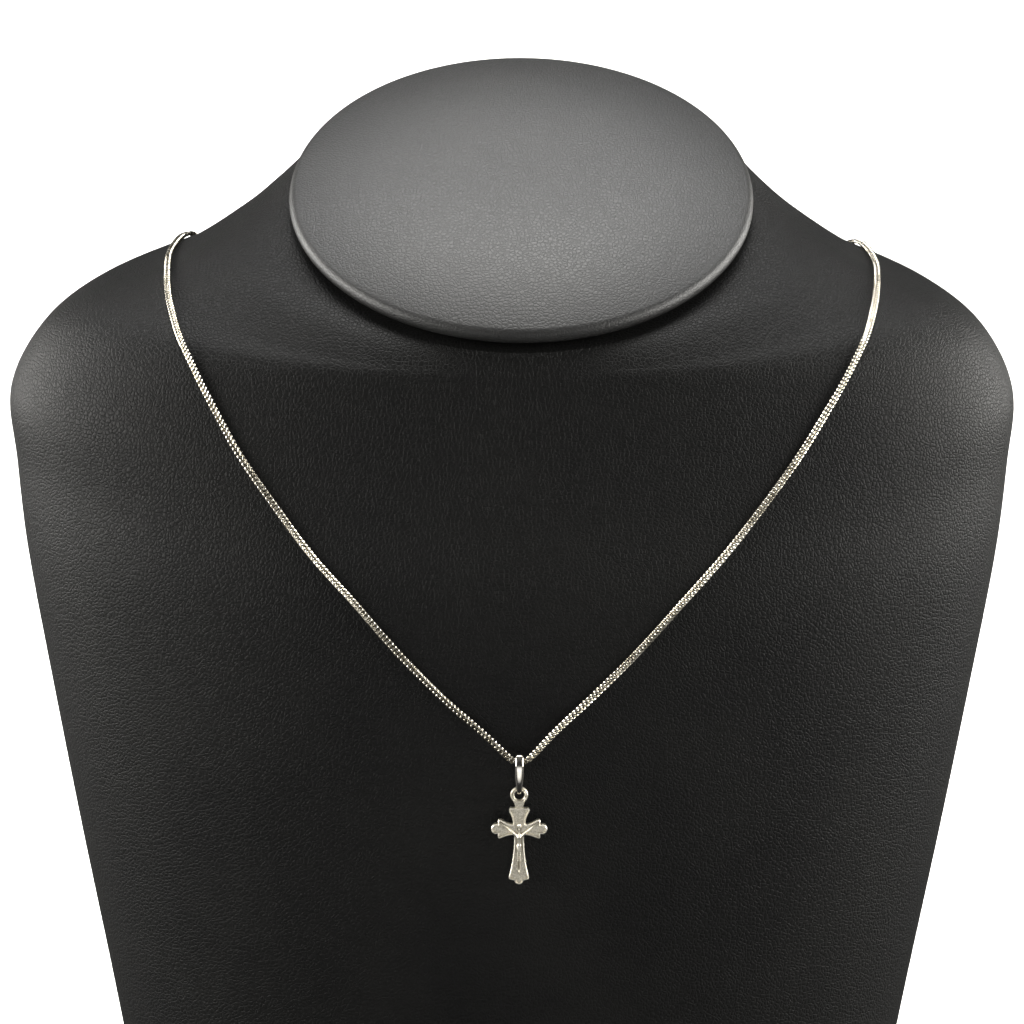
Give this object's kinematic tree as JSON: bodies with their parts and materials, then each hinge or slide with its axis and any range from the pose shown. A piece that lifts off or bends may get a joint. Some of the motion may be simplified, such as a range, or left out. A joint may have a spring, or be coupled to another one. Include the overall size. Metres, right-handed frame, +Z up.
{
  "type": "crucifix pendant necklace on a neck display bust",
  "caption": "Lobed cross pendant with a low relief figure, on an oval bail and a fine chain laid round a padded neck bust with a flat base.",
  "frame": {"origin": "on the base, under the middle of the bust's widest line", "axes": "+Z up, the front looks along -Y, +X to the viewer's right"},
  "size_m": [0.1892, 0.0997, 0.2035],
  "materials": {
    "leatherette": "pebbled, satin black",
    "pad_leatherette": "pebbled, satin black",
    "silver_chain": "polished silver",
    "silver_plain": "polished silver",
    "silver_cast": "cast silver, darkened in the recesses"
  },
  "bodies": {
    "display": {"bust": "leatherette", "neck_pad": "pad_leatherette", "chain": "silver_chain", "clasp": "silver_plain"},
    "bail": {"bail": "silver_plain"},
    "crucifix": {"crucifix": "silver_cast"}
  },
  "joints": [
    {"name": "bail_swing", "type": "hinge", "parent": "display", "child": "bail", "pos_m": [0.0015, -0.0523, 0.0858], "axis": [-1, 0, 0], "range_deg": [0, 80]},
    {"name": "crucifix_sway", "type": "hinge", "parent": "bail", "child": "crucifix", "pos_m": [0.0015, -0.0523, 0.07955], "axis": [0, 1, 0], "range_deg": [-60, 60]}
  ]
}
